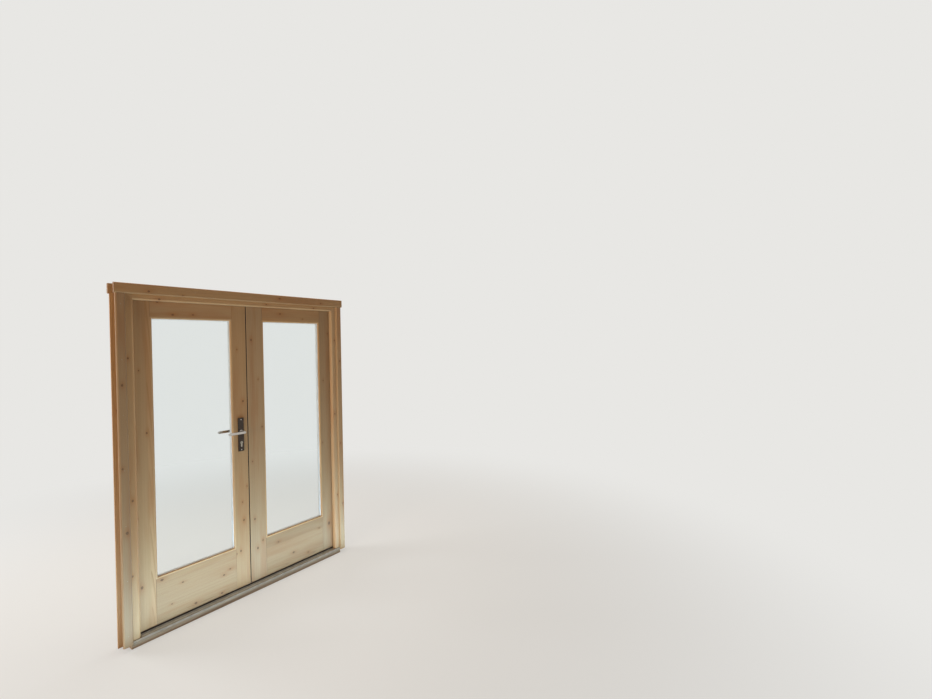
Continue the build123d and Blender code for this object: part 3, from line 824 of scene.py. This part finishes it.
def makeBrads():
    for face, facing in (("inner", -1.0), ("outer", 1.0)):
        places = []
        for side in ("left", "right", "head"):
            low, high = corners(side + "_" + face + "_casing")
            y = low[1] if facing < 0 else high[1]
            if side == "head":
                run = rowOf(low[0], high[0], brads["casingEnd"], brads["casingStep"])
                places += [(x, y, (low[2] + high[2]) / 2) for x in run]
            else:
                run = rowOf(low[2], high[2], brads["casingEnd"], brads["casingStep"])
                places += [((low[0] + high[0]) / 2, y, z) for z in run]
        heads = setOut(bradGrid(brads["casingRadius"]), places, (0, facing, 0))
        finishPiece(gridPiece(face + "_casing_brads", heads, finishes["zinc"]), "frame")
    for side in ("left", "right"):
        low, high = corners(side + "_beads")
        back = brads["beadBack"] * millimetre
        alongX = rowOf(low[0], high[0], brads["beadEnd"], brads["beadStep"])
        alongZ = rowOf(low[2], high[2], brads["beadEnd"], brads["beadStep"])
        places = [(x, low[1], z) for x in alongX for z in (low[2] + back, high[2] - back)]
        places += [(x, low[1], z) for z in alongZ for x in (low[0] + back, high[0] - back)]
        heads = setOut(bradGrid(brads["beadRadius"]), places, (0, -1, 0))
        finishPiece(gridPiece(side + "_bead_brads", heads, finishes["zinc"]), side + "_leaf")


# Sealant round each pane: a quarter round in the corner of glass and timber, carried round the
# sight line with mitred corners, once indoors and once outdoors.
sealant = {"rebate": 10.0, "leg": 2.6, "sink": 0.4, "points": 6}


def loop(low, high, inward, depth):  # inward and depth are arrays over the profile, in mm
    corner = np.array([[low[0], low[2]], [high[0], low[2]], [high[0], high[2]], [low[0], high[2]]])
    inner = np.array([[1, 1], [-1, 1], [-1, -1], [1, -1]])
    flat = corner[None] + inner[None] * inward[:, None, None] * millimetre
    y = np.broadcast_to(depth[:, None], flat.shape[:2])
    return np.stack([flat[..., 0], y, flat[..., 1]], axis=-1)


def makeSealant():
    turn = np.linspace(0.0, math.pi / 2, sealant["points"])
    leg, sink = sealant["leg"], sealant["sink"]
    inward = np.concatenate([[-sink, -sink], leg * np.sin(turn)])
    away = np.concatenate([[-sink, leg], leg * np.cos(turn)])
    for side in ("left", "right"):
        beadLow, beadHigh = corners(side + "_beads")
        glassLow, glassHigh = corners(side + "_glass")
        shrink = np.array([1.0, 0.0, 1.0]) * sealant["rebate"] * millimetre
        low, high = beadLow + shrink, beadHigh - shrink
        room = loop(low, high, inward, glassLow[1] - away * millimetre)
        outdoors = loop(low, high, inward, glassHigh[1] + away * millimetre)
        piece = gridPiece(side + "_glazing_sealant", np.stack([room, outdoors]),
                          finishes["sealant"], closedRows=True)
        finishPiece(piece, side + "_leaf")


# The frame seal: a bulb, a sine to a power, with a bell-shaped groove down its middle. It is
# carried up one jamb, over and down the other.
seal = {"bulb": 0.72, "groove": 0.34, "grooveAt": 0.5, "grooveWide": 0.08, "points": 13}


def bell(t, middle, wide):
    return np.exp(-((t - middle) / wide) ** 2)


def makeFrameSeal():
    jambLow, jambHigh = corners("left_jamb_seal")
    low, high = corners("head_seal")
    inner, wide = jambHigh[0], high[2] - low[2]
    t = np.linspace(0.0, 1.0, seal["points"])
    swell = np.sin(math.pi * t) ** seal["bulb"]
    swell = swell * (1 - seal["groove"] * bell(t, seal["grooveAt"], seal["grooveWide"]))
    out = np.append(t, [1.0, 0.0]) * wide
    y = low[1] + (high[1] - low[1]) * np.append(swell, [0.0, 0.0])
    foot, top = np.full_like(out, jambLow[2]), high[2] - wide + out
    left, right = inner - out, out - inner
    rows = [np.stack([x, y, z], -1)
            for x, z in ((left, foot), (left, top), (right, top), (right, foot))]
    piece = gridPiece("frame_seal", capped(rows), finishes["rubber"])
    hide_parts("left_jamb_seal", "right_jamb_seal", "head_seal")
    finishPiece(piece, "frame")


# The seal on the meeting edge: a base and a sine to a power, with a thin bell-shaped lip that
# nearly reaches the left leaf, carried up the edge of the right leaf.
meetingSeal = {"base": 0.3, "round": 0.6, "lipClear": 0.2, "lipAt": 0.3, "lipThin": 0.08,
               "points": 41}


def makeMeetingSeal():
    low, high = corners("meeting_seal")
    t = np.linspace(0.0, 1.0, meetingSeal["points"])
    swell = (1 - meetingSeal["base"]) * np.sin(math.pi * t) ** meetingSeal["round"]
    bulb = (high[0] - low[0]) * (meetingSeal["base"] + swell)
    gap = high[0] - corners("left_meeting_stile")[1][0] - meetingSeal["lipClear"] * millimetre
    lip = (gap - bulb) * bell(t, meetingSeal["lipAt"], meetingSeal["lipThin"])
    x = np.concatenate([[high[0]], high[0] - bulb - lip, [high[0]]])
    y = low[1] + (high[1] - low[1]) * np.concatenate([[0.0], t, [1.0]])
    rows = [np.stack([x, y, np.full_like(x, z)], -1) for z in (low[2], high[2])]
    piece = gridPiece("meeting_bulb_seal", capped(rows), finishes["rubber"])
    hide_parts("meeting_seal")
    finishPiece(piece, "right_leaf")


# Brush under a leaf: a metal holder and rows of bristles, each a thin three-sided spike that
# leans a little, all of them one array.
brush = {"holder": 1.7, "rows": 5, "step": 1.5, "endGap": 1.0, "thick": 0.26, "tipThick": 0.7,
         "lean": 0.7, "spread": 4.6, "stray": 0.3, "shorter": 0.6, "seed": 21}


def makeBrushes():
    chance = np.random.default_rng(brush["seed"])
    endGap, spread, stray = brush["endGap"] * millimetre, brush["spread"], brush["stray"]
    for side in ("left", "right"):
        low, high = corners(side + "_brush")
        top = high[2] - brush["holder"] * millimetre
        outline = [(low[1], top), (high[1], top), (high[1], high[2]), (low[1], high[2])]
        rows = [np.array([(x, y, z) for y, z in outline]) for x in (low[0], high[0])]
        holder = gridPiece(side + "_brush_holder", capped(rows), finishes["aluminium"])
        finishPiece(holder, side + "_leaf")
        perRow = int((high[0] - low[0]) / (brush["step"] * millimetre))
        count = perRow * brush["rows"]
        x = np.tile(np.linspace(low[0] + endGap, high[0] - endGap, perRow), brush["rows"])
        y = np.repeat(np.linspace(-0.5, 0.5, brush["rows"]) * spread, perRow)
        y = (low[1] + high[1]) / 2 + (y + chance.uniform(-stray, stray, count)) * millimetre
        lean = chance.uniform(-1, 1, (count, 2)) * brush["lean"] * millimetre
        tip = low[2] + chance.uniform(0.0, brush["shorter"], count) * millimetre
        angle = np.arange(3) * 2 * math.pi / 3
        circle = np.stack([np.cos(angle), np.sin(angle)], -1) * brush["thick"] * millimetre
        spikes = np.zeros((count, 4, 3, 3))
        levels = ((0.0, 0.0), (0.0, 1.0), (1.0, brush["tipThick"]), (1.0, 0.0))
        for level, (share, width) in enumerate(levels):
            spikes[:, level, :, 0] = (x + lean[:, 0] * share)[:, None] + circle[:, 0] * width
            spikes[:, level, :, 1] = (y + lean[:, 1] * share)[:, None] + circle[:, 1] * width
            spikes[:, level, :, 2] = (top + (tip - top) * share)[:, None]
        piece = gridPiece(side + "_brush_bristles", spikes, finishes["rubber"], sharp=80)
        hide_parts(side + "_brush")
        finishPiece(piece, side + "_leaf")


# Ribs along the threshold plate: half ellipses carried along it, with their ends drawn in.
rib = {"at": (14.0, 22.0, 38.0), "wide": 3.2, "tall": 0.9, "sink": 0.1, "endGap": 4.0,
       "points": 7}


def makeRibs():
    low, high = corners("threshold_plate")
    t = np.linspace(0.0, math.pi, rib["points"])
    across = -rib["wide"] / 2 * np.cos(t) * millimetre
    up = rib["tall"] * np.sin(t) * millimetre
    gap = rib["endGap"] * millimetre
    run = np.array([low[0] + gap, low[0] + 2 * gap, high[0] - 2 * gap, high[0] - gap])
    full = np.array([0.0, 1.0, 1.0, 0.0])
    ribs = np.zeros((len(rib["at"]), 4, len(t), 3))
    for number, back in enumerate(rib["at"]):
        ribs[number, ..., 0] = run[:, None]
        ribs[number, ..., 1] = low[1] + back * millimetre + full[:, None] * across
        ribs[number, ..., 2] = high[2] - rib["sink"] * millimetre + full[:, None] * up
    piece = gridPiece("threshold_ribs", ribs, finishes["ribbed"])
    finishPiece(piece, "frame")


makeHingeScrews()
makeHingeCaps()
makeLockScrews()
makeCollars()
makeBrads()
print("metalwork made")
makeSealant()
makeFrameSeal()
makeMeetingSeal()
makeBrushes()
makeRibs()
print("seals and brushes made")


# The floor and the air round the door are pale and plain. The camera sees most of the floor at
# its own colour, and all of it far off, so that it runs into the air with no line.
studio = {
    "floorColour": (224, 225, 224),
    "floorReach": 60.0,
    "airColour": (232, 231, 228),          # as the camera and reflections see it
    "airTone": (1.0, 0.77, 0.56, 1.0),     # as it lights the door
    "airLight": 0.105,
    "ownColour": 0.52,       # share of the floor near the door that shows with no shadow
    "fadeFrom": 1.4,         # m
    "fadeTo": 4.4,
}


def makeFloor():
    reach = studio["floorReach"]
    corner = np.array([[-reach, -reach, 0.0], [reach, -reach, 0.0]])
    grid = np.stack([corner, corner * (1, -1, 1)])
    floor = gridPiece("studio_floor", grid[None], closedColumns=False)
    finish = Finish("pale_floor")
    x, y, _ = finish.parts(finish.place())
    far = rise(root(x * x + y * y), studio["fadeFrom"], studio["fadeTo"])
    own = far * (1.0 - studio["ownColour"]) + studio["ownColour"]
    matt = finish.node("BsdfDiffuse", None, {"Color": linear(studio["floorColour"])})
    plain = finish.node("Emission", None, {"Color": linear(studio["airColour"])})
    floor.data.materials.append(finish.end(
        finish.node("MixShader", None, {0: own * finish.seen(), 1: matt, 2: plain})))


makeFloor()
print("floor made")


# The photo's camera: where it stands, where it looks and how wide it sees.
photoCamera = {
    "stand": (-1.6712, -3.0271, 1.6626),
    "yaw": 54.361,          # degrees from +Y towards +X
    "pitch": -0.711,
    "roll": -0.903,
    "focalPixels": 459.24,
    "picturePixels": 932,
    "sensor": 36.0,
}


def makeCamera():
    yaw, pitch, roll = (math.radians(photoCamera[name]) for name in ("yaw", "pitch", "roll"))
    ahead = Vector((math.sin(yaw) * math.cos(pitch), math.cos(yaw) * math.cos(pitch),
                    math.sin(pitch)))
    level = Vector((math.cos(yaw), -math.sin(yaw), 0.0))
    upright = level.cross(ahead)
    right = level * math.cos(roll) + upright * math.sin(roll)
    up = upright * math.cos(roll) - level * math.sin(roll)
    lens = bpy.data.cameras.new("photo_camera")
    lens.sensor_width = photoCamera["sensor"]
    lens.lens = photoCamera["sensor"] * photoCamera["focalPixels"] / photoCamera["picturePixels"]
    camera = bpy.data.objects.new("photo_camera", lens)
    turn = Matrix((right, up, -ahead)).transposed().to_4x4()
    camera.matrix_world = Matrix.Translation(photoCamera["stand"]) @ turn
    bpy.context.scene.collection.objects.link(camera)
    bpy.context.scene.camera = camera


# Soft lamps. The low one lies flat and sends cool light up the foot of the door, and those far
# to the left and right graze it and bring out its arrises.
lamps = {
    "room_side": {"at": (-9.0, -2.3, 1.5), "aim": (0.0, 0.0, 1.0), "size": (3.6, 2.6),
                  "watts": 460.0, "spread": 180.0, "colour": (1.0, 0.81, 0.63)},
    "floor_glow": {"at": (0.0, -0.40, 0.003), "aim": (0.0, -0.40, 1.0), "size": (2.8, 0.52),
                   "watts": 39.0, "spread": 180.0, "colour": (0.41, 0.70, 1.0)},
    "right_side": {"at": (8.6, -1.5, 1.3), "aim": (0.0, 0.0, 1.0), "size": (1.8, 2.4),
                   "watts": 120.0, "spread": 180.0, "colour": (1.0, 0.84, 0.68)},
    "outdoor_side": {"at": (-2.8, 4.0, 2.6), "aim": (0.0, 0.0, 1.0), "size": (2.4, 2.4),
                     "watts": 155.0, "spread": 180.0, "colour": (0.97, 0.985, 1.0)},
    "far_side": {"at": (7.5, 0.9, 1.8), "aim": (0.0, 0.0, 1.0), "size": (2.4, 2.4),
                 "watts": 190.0, "spread": 180.0, "colour": (1.0, 0.97, 0.93)},
    "overhead": {"at": (0.0, 0.0, 6.0), "aim": (0.0, 0.0, 0.0), "size": (4.0, 4.0),
                 "watts": 50.0, "spread": 80.0, "colour": (1.0, 0.9, 0.8)},
}


def makeLamps():
    for name, lamp in lamps.items():
        light = bpy.data.lights.new(name, "AREA")
        light.shape = "RECTANGLE"
        light.size, light.size_y = lamp["size"]
        light.energy = lamp["watts"]
        light.spread = math.radians(lamp["spread"])
        light.color = lamp["colour"]
        held = bpy.data.objects.new(name, light)
        held.location = lamp["at"]
        aim = Vector(lamp["aim"]) - Vector(lamp["at"])
        held.rotation_euler = aim.to_track_quat("-Z", "Y").to_euler()
        held.visible_camera = False
        held.visible_glossy = False
        bpy.context.scene.collection.objects.link(held)


def makeAir():
    air = Finish("studio_air", bpy.data.worlds.new("studio_air"))
    lit = air.node("Background", None, {"Color": studio["airTone"],
                                        "Strength": studio["airLight"]})
    shown = air.node("Background", None, {"Color": linear(studio["airColour"]), "Strength": 1.0})
    blend = air.node("MixShader", None, {0: air.seen(), 1: lit, 2: shown})
    bpy.context.scene.world = air.end(blend, "OutputWorld")


makeCamera()
makeLamps()
makeAir()
bpy.context.scene.view_settings.view_transform = "Standard"
print("camera and lamps placed")
